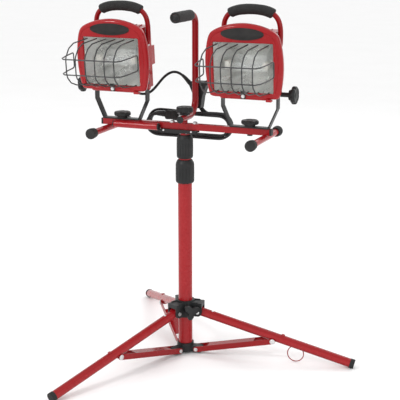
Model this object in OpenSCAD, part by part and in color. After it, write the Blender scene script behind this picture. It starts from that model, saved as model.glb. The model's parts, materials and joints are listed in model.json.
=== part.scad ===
// Twin-head halogen work light on a folding, telescoping tripod stand.
// Millimetres. +Z up, the light shines towards -Y, the light bar lies along X.
// The origin is on the floor, at the middle of the object's footprint.

/* [Stand] */
// Outside diameter of the main tube
main_od = 35; // [32:1:38]
// Outside diameter of the middle telescoping tube
mid_od = 30; // [29:0.5:30.5]
// Outside diameter of the inner telescoping tube
inner_od = 25; // [23:0.5:25.5]
// Wall of every round tube
tube_wall = 1.5; // [1:0.1:1.8]
// Outside diameter of a leg tube
leg_od = 22; // [20:1:22]
// Distance from the mast's axis to the end of a leg
foot_r = 424; // [400:1:440]
// Height of a leg's hinge pin when the stand is open
leg_pin_z = 112; // [106:1:118]
// Turn of the legs about the mast, against the light bar
leg_turn = 6.8; // [0:0.1:12]

/* [Light bar] */
// Height of the light bar's axis with the mast pushed down
bar_z = 580; // [578:1:584]
// Half of the light bar's length
bar_half = 216; // [212:1:220]
// Side of the light bar's square tube
bar_w = 15; // [14:0.5:16]
// Outside diameter of the two cross feet
foot_bar_od = 16; // [14:1:18]
// Length of a cross foot's tube
foot_bar_len = 196; // [180:1:210]
// Distance from the mast's axis to each head's swivel bolt
head_x = 166; // [162:1:170]

/* [Heads] */
// Height of the tilt axis
tilt_z = 670; // [668:1:674]
// Half of the bezel's greatest width
bezel_half = 94; // [90:1:96]
// Width of the glass
glass_w = 145; // [138:1:148]
// Height of the glass
glass_h = 114; // [106:1:116]
// How far the wire guard stands out from the glass
guard_out = 112; // [95:1:115]
// Diameter of a guard wire
wire_d = 3; // [2.5:0.1:3.5]
// Forward tilt of both heads in the stored pose
rest_tilt = 5; // [0:1:8]

/* [Cords] */
// Diameter of the power cord and of the two leads
cord_d = 6.5; // [6:0.5:7]

/* [Hidden] */
$fn = 48;

red = "#ab2a30";
black = "#2e2f30";
steel = "#b9bcbe";
dark_wire = "#3c3d3e";
alu = "#a8aaa8";

mast = [-72, 25, 0];          // the mast's axis, from the footprint's middle
run = 0.08;                   // radial clearance of a running fit
gap = 0.4;                    // clearance between parts that only pass each other
pin_d = 6;
bolt_d = 8;

// Heights along the mast
tube_foot_z = 27;
main_top_z = 480;
collar_low_z = 441;
collar_low_top = 499;
mid_foot_z = 64;
mid_top_z = 540;
collar_up_z = 502;
collar_up_top = 560;
inner_foot_z = 70;
plate_t = 3;
plate_z = bar_z - bar_w / 2 - plate_t;
plate_left = -60;
plate_len = 92;
plate_bolts = [-32, 27];

// Leg and brace geometry, in the upright plane of one leg
leg_pin_r = 35;
foot_z = 10.9;
leg_drop = atan2(leg_pin_z - foot_z, foot_r - leg_pin_r);
leg_len = norm([foot_r - leg_pin_r, leg_pin_z - foot_z]);
clip_x = 200;                 // brace rivet, along the leg from its hinge pin
clip_down = 9;                // and below the leg's axis
clip_r = leg_pin_r + clip_x * cos(leg_drop) - clip_down * sin(leg_drop);
clip_z = leg_pin_z - clip_x * sin(leg_drop) - clip_down * cos(leg_drop);
brace_pin_r = 30;
brace_pin_z = 11.5;
brace_rise = atan2(clip_z - brace_pin_z, clip_r - brace_pin_r);
brace_len = norm([clip_r - brace_pin_r, clip_z - brace_pin_z]);
brace_in = leg_od + 1;        // inside width of the brace's channel
brace_t = 1.5;
brace_h = 14;
web_cut_leg = 48;             // the web is cut away where the leg crosses it
web_cut_hub = 32;
hub_r = 23;
hub_ear_t = 4;
hub_ear_in = leg_od / 2 + gap;

// Head geometry, from the tilt axis
glass_z = 69;                 // middle of the glass, above the tilt axis
glass_y = -48;
bezel_back = -36;
bezel_deep = bezel_back - glass_y + 2;
skin = 2.2;                   // thickness of the cast shells
house_half = 62;
house_back = 48;
yoke_in = 66.5;
yoke_t = 3;
yoke_w = 20;
yoke_base_half = 46;
yoke_foot_z = bar_z + bar_w / 2 + 0.3;
box_y = house_back + 28;
tilt_knob_out = 113;          // outer face of a tilt knob, from the middle of its head

// Post handle, a C of round tube in the Y-Z plane
post_od = 16;
post_y = 68;
post_low_z = 600;
post_top_z = 842;
post_low_bend = 40;
post_top_bend = 24;
post_front_low = -28;
post_front_top = -56;

// Routes of the cords, through the middle of the cord, from the mast's axis
power_route = [
    [9, 92.6, 606], [12.5, 92.6, 602], [18, 92.6, 598.5], [26, 92.2, 596.5], [36, 90.5, 596.5],
    [46, 88, 598], [56, 85.3, 600.5], [64, 83, 602]
];
tail_route = [
    [-104, 73.5, 539.4], [-117, 70, 543], [-128, 66.5, 553.5], [-130.4, 64, 567],
    [-126.5, 62.3, 580.5], [-116.5, 61.5, 590.5], [-106, 61.5, 594], [-100, 61.5, 594]
];
left_route = [
    [-180, 61.3, 704.6], [-180, 62.5, 692], [-180, 65.5, 678], [-178.5, 69.5, 664],
    [-173, 74, 651], [-162, 79, 641], [-147, 83, 638], [-132, 86, 642], [-119, 88, 653],
    [-107, 89, 667], [-95, 90, 681], [-81, 90, 692], [-66, 90, 697.5], [-51, 90, 694.5],
    [-38, 90, 686], [-27, 90, 675]
];
right_route = [
    [180, 61.3, 704.6], [180, 62.5, 692], [177, 65.5, 680], [169, 70, 670], [156, 77, 664],
    [141, 82, 664], [124, 85, 670], [107, 87, 678], [90, 89, 687], [72, 90, 693.5],
    [55, 90, 695.5], [41, 90, 690.5], [28, 90, 680]
];

// ---------- helpers ----------

function unit(v) = v / norm(v);
function along(p, i) = unit(p[min(i + 1, len(p) - 1)] - p[max(i - 1, 0)]);

// One closed tube through the points p; side is a direction the route never takes
module sweep(p, d, sides, side) {
    n = len(p);
    rings = [
        for (i = [0 : n - 1])
            let (t = along(p, i), u = unit(cross(side, t)), v = cross(t, u))
            for (k = [0 : sides - 1])
                p[i] + d / 2 * (cos(360 * k / sides) * u + sin(360 * k / sides) * v)
    ];
    walls = [
        for (i = [0 : n - 2]) for (k = [0 : sides - 1])
            let (a = i * sides + k, b = i * sides + (k + 1) % sides)
            [a, a + sides, b + sides, b]
    ];
    start = [for (k = [0 : sides - 1]) k];
    finish = [for (k = [sides - 1 : -1 : 0]) (n - 1) * sides + k];
    polyhedron(rings, concat(walls, [start, finish]), convexity = 8);
}

module pipe(d, h, wall) {
    difference() {
        cylinder(d = d, h = h);
        translate([0, 0, -1]) cylinder(d = d - 2 * wall, h = h + 2);
    }
}

module x_rod(d, len) {
    translate([-len / 2, 0, 0]) rotate([0, 90, 0]) cylinder(d = d, h = len);
}

module y_rod(d, len) {
    translate([0, len / 2, 0]) rotate([90, 0, 0]) cylinder(d = d, h = len);
}

module six_lobes(d, h) {
    cylinder(d = d * 0.78, h = h);
    for (i = [0 : 5]) rotate(15 + i * 60) translate([d * 0.36, 0, 0]) cylinder(d = d * 0.28, h = h - 1);
}

module lobed_knob(d, h, bore) {
    difference() {
        six_lobes(d, h);
        translate([0, 0, -1]) cylinder(d = bore, h = h - 3);
    }
}

module on_mast() { translate(mast) children(); }

module on_leg(i) { on_mast() rotate([0, 0, leg_turn + 120 * i]) children(); }

module on_leg_axis(i) {
    on_leg(i) translate([leg_pin_r, 0, leg_pin_z]) rotate([0, leg_drop, 0]) children();
}

// Swivel frame of a head: side is -1 on the left, +1 on the right, +X points outwards
module on_swivel(side) {
    on_mast() translate([side * head_x, 0, 0]) scale_x(side) children();
}

module scale_x(side) {
    if (side < 0) mirror([1, 0, 0]) children();
    else children();
}

// Head frame: the origin is on the tilt axis and the head leans by rest_tilt
module on_head(side) {
    on_swivel(side) translate([0, 0, tilt_z]) rotate([rest_tilt, 0, 0]) children();
}

// ---------- stand ----------

module outer_tube() {
    color(red) on_mast() translate([0, 0, tube_foot_z])
        pipe(main_od, main_top_z - tube_foot_z, tube_wall);
}

module mid_tube() {
    color(red) on_mast() translate([0, 0, mid_foot_z])
        pipe(mid_od, mid_top_z - mid_foot_z, tube_wall);
}

module inner_glide() {
    glide_od = mid_od - 2 * tube_wall - 2 * run;
    color(black) on_mast() translate([0, 0, inner_foot_z + 4]) difference() {
        cylinder(d = glide_od, h = 16);
        translate([0, 0, -1]) cylinder(d = inner_od + 2 * run, h = 18);
    }
}

module inner_tube() {
    color(red) on_mast() translate([0, 0, inner_foot_z])
        pipe(inner_od, plate_z - inner_foot_z, tube_wall);
}

// A twist-lock collar: a ribbed sleeve with rounded shoulders
module collar(od, h, big, small, step_h) {
    ribs = 24;
    shoulder = 5;
    difference() {
        union() {
            rotate_extrude() polygon([
                [0, 0], [od / 2 - 2, 0], [od / 2, 3], [od / 2, h - shoulder - 3],
                [od / 2 - 1, h - shoulder], [od / 2 - shoulder, h], [0, h]
            ]);
            for (i = [0 : ribs - 1]) rotate(i * 360 / ribs)
                translate([od / 2 - 0.3, -1, 5]) cube([1, 2, h - 16]);
        }
        translate([0, 0, -1]) cylinder(d = big + 2 * run, h = step_h + 1);
        translate([0, 0, -1]) cylinder(d = small + 2 * run, h = h + 2);
    }
}

module lower_collar() {
    color(black) on_mast() translate([0, 0, collar_low_z])
        collar(46, collar_low_top - collar_low_z, main_od, mid_od, main_top_z - collar_low_z + 1);
}

module upper_collar() {
    color(black) on_mast() translate([0, 0, collar_up_z])
        collar(40.5, collar_up_top - collar_up_z, mid_od, inner_od, mid_top_z - collar_up_z + 1);
}

// Sleeve with three clevises; the legs hinge between their ears
module leg_hub() {
    low = 98;
    high = 140;
    ear_out = leg_pin_r + 11;
    color(black) difference() {
        union() {
            on_mast() translate([0, 0, low]) cylinder(r = hub_r, h = high - low);
            for (i = [0 : 2]) on_leg(i) {
                for (s = [-1, 1]) translate([0, s * (hub_ear_in + hub_ear_t / 2), 0]) {
                    translate([16, -hub_ear_t / 2, leg_pin_z - 11]) cube([leg_pin_r - 16, hub_ear_t, 37]);
                    translate([leg_pin_r, 0, leg_pin_z]) y_rod(22, hub_ear_t);
                    translate([leg_pin_r - 1, -hub_ear_t / 2, leg_pin_z]) cube([12, hub_ear_t, 22]);
                }
                translate([16, -hub_ear_in - hub_ear_t, leg_pin_z + 14])
                    cube([ear_out - 16, 2 * (hub_ear_in + hub_ear_t), 10]);
            }
            on_knob_axis() translate([0, 0, hub_r - 4]) cylinder(d = 20, h = 10);
        }
        on_mast() translate([0, 0, low - 1]) cylinder(d = main_od + 2 * run, h = high - low + 2);
        for (i = [0 : 2]) on_leg(i) translate([leg_pin_r, 0, leg_pin_z]) y_rod(pin_d, 60);
        on_knob_axis() cylinder(d = bolt_d + 2 * run, h = 60);
    }
}

// The hub's clamp screw points out between the front and the right leg
module on_knob_axis() {
    on_mast() translate([0, 0, 119]) rotate([0, 0, leg_turn - 53]) rotate([0, 90, 0]) children();
}

module hub_rivets() {
    color(steel) for (i = [0 : 2]) on_leg(i) translate([leg_pin_r, 0, leg_pin_z]) {
        half = hub_ear_in + hub_ear_t;
        y_rod(pin_d, 2 * half);
        for (s = [-1, 1]) translate([0, s * (half + 0.8), 0]) y_rod(10, 1.6);
    }
}

// Screw with a three-winged grip
module hub_knob() {
    color(black) on_knob_axis() {
        translate([0, 0, main_od / 2 + gap]) cylinder(d = bolt_d, h = 20);
        translate([0, 0, hub_r + 6.5]) cylinder(d = 16, h = 17.5);
        for (i = [0 : 2]) rotate(40 + i * 120) {
            translate([0, -4, hub_r + 13.3]) cube([14, 8, 10]);
            translate([14, 0, hub_r + 13.3]) cylinder(d = 11, h = 10);
        }
    }
}

// Foot casting under the main tube, with an arm for each brace
module foot_hub() {
    color(black) difference() {
        union() {
            on_mast() translate([0, 0, 4]) cylinder(r = 21, h = tube_foot_z - 4);
            on_mast() translate([0, 0, 4]) cylinder(d = main_od - 2 * tube_wall - 0.1, h = 52);
            for (i = [0 : 2]) on_leg(i) {
                translate([0, -leg_od / 2, 4.5]) cube([brace_pin_r + 9, leg_od, 14.5]);
                translate([brace_pin_r + 9, 0, 11.75]) y_rod(14.5, leg_od);
            }
        }
        for (i = [0 : 2]) on_leg(i) translate([brace_pin_r, 0, brace_pin_z]) y_rod(pin_d, 60);
    }
}

module foot_rivets() {
    half = brace_in / 2 + brace_t;
    color(steel) for (i = [0 : 2]) on_leg(i) translate([brace_pin_r, 0, brace_pin_z]) {
        y_rod(pin_d, 2 * half + 0.6);
        for (s = [-1, 1]) translate([0, s * (half + 1.1), 0]) y_rod(10, 1.6);
    }
}

module leg(i) {
    color(red) on_leg_axis(i) difference() {
        union() {
            rotate([0, 90, 0]) pipe(leg_od, leg_len, tube_wall);
            y_rod(leg_od, leg_od - 2);
            translate([clip_x, 0, -clip_down]) y_rod(12, leg_od - 1);
            translate([clip_x + 20, 0, leg_od / 2 - 1]) cylinder(d = 9, h = 3);
        }
        y_rod(pin_d + 2 * run, leg_od + 2);
    }
}

// End cap with a flat that rests on the floor
module leg_cap(i) {
    cap_od = leg_od + 1.4;
    color(black) difference() {
        on_leg_axis(i) {
            translate([leg_len - 7, 0, 0]) rotate([0, 90, 0]) difference() {
                cylinder(d = cap_od, h = 11);
                translate([0, 0, -1]) cylinder(d = leg_od, h = 8);
            }
            translate([leg_len - 16, 0, 0]) rotate([0, 90, 0])
                cylinder(d = leg_od - 2 * tube_wall - 0.1, h = 17);
        }
        on_leg(i) translate([foot_r - 60, -40, -40]) cube([120, 80, 40]);
    }
}

// Channel with its web on top; its ends are two ears that straddle the casting and the leg
module brace(i) {
    half = brace_in / 2 + brace_t;
    color(red) on_leg(i) translate([brace_pin_r, 0, brace_pin_z]) rotate([0, -brace_rise, 0])
        difference() {
            union() {
                for (s = [-1, 1]) translate([0, s * (half - brace_t / 2), 0]) {
                    translate([0, -brace_t / 2, -brace_h / 2]) cube([brace_len, brace_t, brace_h]);
                    y_rod(brace_h, brace_t);
                    translate([brace_len, 0, 0]) y_rod(brace_h, brace_t);
                    translate([brace_len, s * (brace_t / 2 + 0.8), 0]) y_rod(9, 1.6);
                }
                translate([web_cut_hub, -half, brace_h / 2 - brace_t])
                    cube([brace_len - web_cut_hub - web_cut_leg, 2 * half, brace_t]);
            }
            y_rod(pin_d + 2 * run, 60);
        }
}

// Springy wire keeper under the right leg
module leg_loop() {
    ring_r = 20;
    color(dark_wire) on_leg_axis(0) translate([262, 0, -24]) {
        sweep([for (a = [138 : 24 : 402]) ring_r * [cos(a), 0, sin(a)]], 2.4, 8, [0, 1, 0]);
    }
}

// ---------- light bar ----------

// Saddle plate on the mast, with the bolts that hold the bar, the handle and the yokes
module bar_bracket() {
    depth = 30;
    color(black) on_mast() {
        difference() {
            union() {
                translate([plate_left, -depth / 2, plate_z]) cube([plate_len, depth, plate_t]);
                for (s = [-1, 1]) translate([plate_left, s * (depth / 2 - 1) - 1, plate_z - 5])
                    cube([plate_len, 2, 6]);
                translate([0, 0, plate_z - 30]) cylinder(d = inner_od - 2 * tube_wall - 0.1, h = 31);
            }
            for (x = plate_bolts) translate([x, 0, plate_z - 40]) cylinder(d = bolt_d, h = 60);
            translate([0, 0, plate_z - 40]) cylinder(d = bolt_d, h = 60);
        }
        for (x = plate_bolts) bolt(x, plate_z - 4, bar_z + bar_w / 2 + 5);
        bolt(0, plate_z - 4, post_low_z + 22);
        for (x = [-head_x, head_x]) bolt(x, bar_z - bar_w / 2 - 4, yoke_foot_z + 13);
    }
    color(steel) on_mast() for (s = [-1, 1])
        rotate([0, 0, -90 + s * 38]) translate([inner_od / 2, 0, plate_z - 5])
            rotate([0, 90, 0]) cylinder(d = 5, h = 1.4);
}

module bolt(x, low, high) {
    translate([x, 0, low]) {
        cylinder(d = bolt_d, h = high - low);
        cylinder(d = 13, h = 4);
    }
}

module rail() {
    color(red) on_mast() difference() {
        translate([-bar_half, -bar_w / 2, bar_z - bar_w / 2]) cube([2 * bar_half, bar_w, bar_w]);
        translate([-bar_half - 1, -bar_w / 2 + tube_wall, bar_z - bar_w / 2 + tube_wall])
            cube([2 * bar_half + 2, bar_w - 2 * tube_wall, bar_w - 2 * tube_wall]);
        for (x = concat([-head_x, 0, head_x], plate_bolts)) translate([x, 0, bar_z - bar_w])
            cylinder(d = bolt_d, h = 2 * bar_w);
    }
}

function foot_bar_x() = bar_half - 14;
function foot_bar_z() = bar_z - bar_w / 2 - foot_bar_od / 2;

module foot_bars() {
    color(red) on_mast() for (s = [-1, 1])
        translate([s * foot_bar_x(), -foot_bar_len / 2, foot_bar_z()])
            rotate([-90, 0, 0]) pipe(foot_bar_od, foot_bar_len, tube_wall);
}

// Rubber feet on the four ends of the cross feet
module bar_feet() {
    cap_len = 24;
    color(black) on_mast() for (s = [-1, 1]) for (e = [-1, 1])
        translate([s * foot_bar_x(), e * (foot_bar_len / 2 - 14), foot_bar_z()])
            rotate([-e * 90, 0, 0]) difference() {
                rotate_extrude() polygon([
                    [0, 0], [12, 0], [13, 1], [13, cap_len - 3], [10, cap_len], [0, cap_len]
                ]);
                translate([0, 0, -1]) cylinder(d = foot_bar_od, h = 15);
            }
}

spare_x = -122;
spare_half = 58;
spare_od = 17;
spare_y = -bar_w / 2 - spare_od / 2;

module spare_lamp_tube() {
    color(red) on_mast() translate([spare_x - spare_half, spare_y, bar_z - 3])
        rotate([0, 90, 0]) pipe(spare_od, 2 * spare_half, 1);
}

// Plastic ends of the bar, of the spare lamp tube and of the post handle
module end_plugs() {
    spigot = bar_w - 2 * tube_wall - 0.1;
    color(black) on_mast() {
        for (s = [-1, 1]) {
            translate([s * (bar_half + 2.5), 0, bar_z]) cube([5, bar_w, bar_w], center = true);
            translate([s * (bar_half - 4), 0, bar_z]) cube([8.2, spigot, spigot], center = true);
            translate([spare_x + s * (spare_half + 1.5), spare_y, bar_z - 3]) x_rod(spare_od, 3);
            translate([spare_x + s * (spare_half - 5), spare_y, bar_z - 3]) x_rod(spare_od - 2.1, 10.2);
        }
        translate([0, post_front_low - 1.5, post_low_z]) y_rod(post_od + 1, 3);
        translate([0, post_front_low + 5, post_low_z]) y_rod(post_od - 2 * tube_wall - 0.1, 10.2);
    }
}

// One quarter bend of round tube about X, from -Z travel round to +Y travel
module bend(d, wall, radius) {
    rotate([90, 0, 90]) rotate_extrude(angle = 90) translate([radius, 0]) difference() {
        circle(d = d);
        circle(d = d - 2 * wall);
    }
}

module post_handle() {
    low_len = post_y - post_low_bend - post_front_low;
    up_len = post_top_z - post_top_bend - post_low_z - post_low_bend;
    top_len = post_y - post_top_bend - post_front_top;
    color(red) on_mast() difference() {
        union() {
            translate([0, post_front_low, post_low_z])
                rotate([-90, 0, 0]) pipe(post_od, low_len, tube_wall);
            translate([0, post_y - post_low_bend, post_low_z + post_low_bend])
                rotate([-90, 0, 0]) bend(post_od, tube_wall, post_low_bend);
            translate([0, post_y, post_low_z + post_low_bend]) pipe(post_od, up_len, tube_wall);
            translate([0, post_y - post_top_bend, post_top_z - post_top_bend])
                bend(post_od, tube_wall, post_top_bend);
            translate([0, post_front_top, post_top_z])
                rotate([-90, 0, 0]) pipe(post_od, top_len, tube_wall);
            translate([0, 0, bar_z + bar_w / 2]) cylinder(d = 14, h = post_low_z - bar_z - bar_w / 2);
        }
        translate([0, 0, bar_z]) cylinder(d = bolt_d, h = 60);
    }
}

// Foam sleeve on the post handle's top arm
module post_grip() {
    color(black) on_mast() translate([0, post_front_top - 3, post_top_z])
        rotate([-90, 0, 0]) difference() {
            cylinder(d = 26, h = 96);
            translate([0, 0, -1]) cylinder(d = post_od, h = 98);
        }
}

module post_knob() {
    color(black) on_mast() translate([0, 0, post_low_z + post_od / 2 + 0.3])
        lobed_knob(41, 19, bolt_d + 2 * run);
}

// ---------- cords ----------

hank_x = -21;
hank_z = 571;
hank_y = 79;
hank_run = 82;                // half of the straight part
hank_out = 35;                // outside radius of a round end
hank_in = 17;
plug_at = [-60, 61.5, 594];

module hank_outline(r) {
    for (s = [-1, 1]) translate([s * hank_run, 0]) circle(r = r);
    square([2 * hank_run, 2 * r], center = true);
}

module cord_hank() {
    thick = 16;
    color(black) on_mast() translate([hank_x, hank_y + thick / 2, hank_z]) rotate([90, 0, 0])
        linear_extrude(thick) difference() {
            hank_outline(hank_out);
            hank_outline(hank_in);
        }
}

module power_cord() {
    color(black) on_mast() {
        sweep(power_route, cord_d, 8, [0, 1, 0]);
        sweep(tail_route, cord_d, 8, [0, 1, 0]);
    }
}

module left_lead() {
    color(black) on_mast() sweep(left_route, cord_d, 8, [0, 1, 0]);
}

module right_lead() {
    color(black) on_mast() sweep(right_route, cord_d, 8, [0, 1, 0]);
}

// Flat three-way connector behind the post handle, with its strain reliefs
module connector() {
    front = 76.2;
    color(black) on_mast() {
        translate([0, front + 24, 0]) rotate([90, 0, 0]) linear_extrude(24) polygon([
            [-4, 612], [10, 612], [14, 640], [24, 668], [18, 678], [-14, 678], [-20, 668], [-8, 640]
        ]);
        relief(power_route[0], [-0.6, 0, 0.8], 14);
        relief(left_route[len(left_route) - 1], unit([11, 0, -11]), 14);
        relief(right_route[len(right_route) - 1], unit([-13, 0, -10.5]), 14);
    }
}

// Short round sleeve that starts at p and runs along v
module relief(p, v, len) {
    translate(p) rotate([0, atan2(v[0], v[2]), 0]) cylinder(d = 11, h = len);
}

// Three-pin plug lying along the front of the hank, with its strain relief
module plug() {
    color(black) on_mast() translate(plug_at) {
        translate([-17, -9, -13]) cube([32, 18, 26]);
        translate([-40, 0, 0]) rotate([0, 90, 0]) cylinder(d1 = 8, d2 = 14, h = 24);
    }
    color(steel) on_mast() translate(plug_at) {
        for (s = [-1, 1]) translate([14, -0.8, s * 6.3 - 3.1]) cube([17, 1.6, 6.2]);
        translate([14, 5, 0]) x_pin(4.8, 18);
    }
}

module x_pin(d, len) { rotate([0, 90, 0]) cylinder(d = d, h = len); }

// ---------- heads ----------

module yoke(side) {
    top = tilt_z + 12;
    knee = 636;
    out = yoke_in + yoke_t;
    f = yoke_foot_z;
    color(black) on_swivel(side) difference() {
        translate([0, yoke_w / 2, 0]) rotate([90, 0, 0]) linear_extrude(yoke_w) polygon([
            [-out, top], [-out, knee], [-yoke_base_half - 2, f], [yoke_base_half + 2, f],
            [out, knee], [out, top], [yoke_in, top], [yoke_in, knee + 1],
            [yoke_base_half, f + yoke_t], [-yoke_base_half, f + yoke_t],
            [-yoke_in, knee + 1], [-yoke_in, top]
        ]);
        translate([0, 0, f - 1]) cylinder(d = bolt_d + 2 * run, h = 6);
        translate([yoke_in + 1, 0, tilt_z]) x_rod(pin_d + 2 * run, 10);
        translate([-yoke_in - 1, 0, tilt_z]) x_rod(bolt_d + 2 * run, 10);
    }
}

module yoke_knob(side) {
    color(black) on_swivel(side) translate([0, 0, yoke_foot_z + yoke_t + 0.3])
        lobed_knob(42, 14.5, bolt_d + 2 * run);
}

module tilt_knob(side) {
    stem = yoke_in + yoke_t + 0.3;
    color(black) on_swivel(side) translate([0, 0, tilt_z]) rotate([0, 90, 0]) {
        translate([0, 0, house_half - 5]) cylinder(d = pin_d, h = stem - house_half + 6);
        translate([0, 0, stem]) cylinder(d = 11, h = tilt_knob_out - 16 - stem);
        translate([0, 0, tilt_knob_out - 17]) six_lobes(42, 17);
    }
}

// The front outline of a head, in X and height above the tilt axis
module head_outline(shrink) {
    side_r = 261;
    crown_r = 165;
    offset(r = 12, $fn = 32) offset(delta = -12 - shrink) intersection() {
        for_side(side_r, 1);
        for_side(side_r, -1);
        translate([0, 169 - crown_r]) circle(r = crown_r, $fn = 90);
        translate([-120, -6]) square([240, 200]);
    }
}

module for_side(r, s) {
    translate([s * (bezel_half - r), 72]) circle(r = r, $fn = 120);
}

module glass_outline(grow) {
    square([glass_w + 2 * grow, glass_h + 2 * grow], center = true);
}

// Front frame; the glass sits behind its lip
module bezel(side) {
    color(red) on_head(side) {
        translate([0, bezel_back, 0]) rotate([90, 0, 0]) {
            difference() {
                linear_extrude(bezel_deep) head_outline(0);
                translate([0, 0, -1]) linear_extrude(bezel_deep - 0.5) head_outline(skin);
                translate([0, glass_z, -1]) linear_extrude(60) glass_outline(0);
            }
            translate([0, glass_z, 4]) linear_extrude(bezel_deep - 5) difference() {
                glass_outline(7);
                glass_outline(5);
            }
        }
        translate([0, -50, 146]) rotate([90, 0, 0]) scale([1, 0.27, 1]) cylinder(d = 103, h = 1.6);
    }
}

module glass(side) {
    color("lightgray", 0.35) on_head(side) translate([0, glass_y + 4.4, glass_z]) rotate([90, 0, 0])
        linear_extrude(4) glass_outline(4.5);
}

// A slab of the head's outline that starts at the depth y
module shell_outline(y, thick, shrink) {
    translate([0, y, 0]) rotate([-90, 0, 0]) mirror([0, 1, 0]) linear_extrude(thick) head_outline(shrink);
}

// Deep pan that flares out to a flange behind the bezel, cooling fins on top, and the wiring box
module housing(side) {
    top = 142;
    low = -8;
    neck_y = -16;
    color(red) on_head(side) {
        difference() {
            union() {
                shell_outline(bezel_back, 2, 3);
                hull() {
                    shell_outline(bezel_back + 1, 1, 7);
                    translate([-house_half, neck_y, low]) cube([2 * house_half, 1, top - low]);
                }
                translate([-house_half, neck_y, low])
                    cube([2 * house_half, house_back - neck_y, top - low]);
                for (x = [-42 : 14 : 42]) translate([x - 1.2, -8, top - 1]) cube([2.4, 50, 7]);
                translate([house_half - 1, 0, 0]) rotate([0, 90, 0])
                    cylinder(d = 16, h = yoke_in - house_half + 1 - gap);
                translate([-yoke_in + gap, 0, 0]) rotate([0, 90, 0])
                    cylinder(d = 16, h = yoke_in - house_half + 1 - gap);
                translate([-yoke_in - yoke_t - 5, 0, 0]) rotate([0, 90, 0]) cylinder(d = bolt_d, h = 14);
                translate([-yoke_in - yoke_t - 5, 0, 0]) rotate([0, 90, 0]) cylinder(d = 14, h = 4.6);
            }
            hull() {
                shell_outline(bezel_back - 1, 1, 7 + skin);
                translate([skin - house_half, neck_y, low + skin])
                    cube([2 * (house_half - skin), 1, top - low - 2 * skin]);
            }
            translate([skin - house_half, neck_y, low + skin])
                cube([2 * (house_half - skin), house_back - neck_y - skin, top - low - 2 * skin]);
            translate([house_half - 4, 0, 0]) x_rod(pin_d + 2 * run, 30);
        }
        wiring_box();
    }
}

// Box on the back of the head, with its cable gland underneath
module wiring_box() {
    difference() {
        translate([-57, house_back, 42]) cube([91, 28, 46]);
        translate([-54, house_back + 3, 45]) cube([85, 22, 40]);
        translate([-24, house_back + 24, 58]) cube([25, 10, 15]);
        translate([14, house_back + 16, 35]) cylinder(d = 10, h = 20);
    }
    translate([14, house_back + 16, 30]) difference() {
        cylinder(d = 14, h = 14);
        translate([0, 0, -1]) cylinder(d = cord_d + 0.2, h = 20);
    }
}

// Sheet reflector: four sloping sides and a flat back
module reflector(side) {
    deep = 52;
    color(alu) on_head(side) translate([0, glass_y + 5, glass_z]) rotate([-90, 0, 0]) difference() {
        hull() {
            linear_extrude(1) glass_outline(3);
            translate([0, 0, deep]) linear_extrude(1) square([78, 38], center = true);
        }
        hull() {
            translate([0, 0, -1]) linear_extrude(1) glass_outline(2.4);
            translate([0, 0, deep - 1]) linear_extrude(1) square([76, 36], center = true);
        }
    }
}

// Double-ended halogen lamp between its two ceramic holders
module lamp(side) {
    color("white") on_head(side) translate([0, -18, glass_z]) {
        x_rod(9.5, 84);
        for (s = [-1, 1]) translate([s * 47, 0, 0]) cube([10.2, 14, 18], center = true);
    }
}

// Six bent wires, one closed loop around them, and the tab that holds them to the bezel
module guard(side) {
    step = 24.5;
    top = glass_z + glass_h / 2 - 4;
    low = glass_z - glass_h / 2 + 2;
    y0 = glass_y + 0.2;
    y1 = glass_y - guard_out;
    loop_top = glass_z + 24;
    loop_low = glass_z - 12;
    color(dark_wire) on_head(side) {
        for (i = [0 : 5]) translate([(i - 2.5) * step, 0, 0]) sweep([
            [0, y0, top], [0, y0 - 10, top], [0, y1 + 42, top + 1], [0, y1 + 18, top - 7],
            [0, y1 + 2, top - 24], [0, y1, loop_top - 6], [0, y1, loop_low + 2],
            [0, y1 + 3, loop_low - 8], [0, y1 + 18, low + 20], [0, y1 + 45, low + 9],
            [0, y0 - 10, low], [0, y0, low]
        ], wire_d, 6, [1, 0, 0]);
        for (z = [loop_top, loop_low]) translate([0, 0, z]) sweep([
            [-84, y1 + 80, 0], [-81, y1 + 40, 0], [-76, y1 + 10, 0], [-67, y1 - 1.2, 0],
            [0, y1 - 1.2, 0],
            [67, y1 - 1.2, 0], [76, y1 + 10, 0], [81, y1 + 40, 0], [84, y1 + 80, 0]
        ], wire_d, 6, [0, 0, 1]);
        for (x = [-84, 84]) sweep([
            [x, y1 + 80, loop_low - 2], [x, y1 + 80, loop_top + 2]
        ], wire_d + 0.6, 6, [0, 1, 0]);
        translate([-6, glass_y - 4, -3]) cube([12, 2, 17]);
    }
}

// Arch of round rod over the head, from the height low upwards
module handle_arch(d, low) {
    half = 68.4;
    r = 30;
    high = 190;
    for (s = [-1, 1]) {
        translate([s * half, 0, low]) cylinder(d = d, h = high - r - low);
        translate([s * (half - r), 0, high - r]) rotate([90, 0, 0])
            rotate([0, 0, s > 0 ? 0 : 90]) rotate_extrude(angle = 90) translate([r, 0]) circle(d = d);
    }
    translate([0, 0, high]) x_rod(d, 2 * (half - r));
}

// U of round tube with flattened ends screwed to the sides of the pan
module carry_handle(side) {
    low = 100;
    color(red) on_head(side) translate([0, 18, 0]) {
        handle_arch(12, low + 10);
        for (s = [-1, 1]) {
            translate([s * (house_half + 2) - 2, -8, low - 2]) cube([4, 16, 14]);
            translate([s * (house_half + 5), 0, low + 4]) x_rod(9, 4);
        }
    }
}

// Foam sleeve over the middle of the carry handle
module carry_grip(side) {
    color(black) on_head(side) translate([0, 18, 0]) intersection() {
        difference() {
            handle_arch(24, 150, $fn = 32);
            handle_arch(12.1, 148);
        }
        translate([-55, -20, 165]) cube([110, 40, 60]);
    }
}

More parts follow.
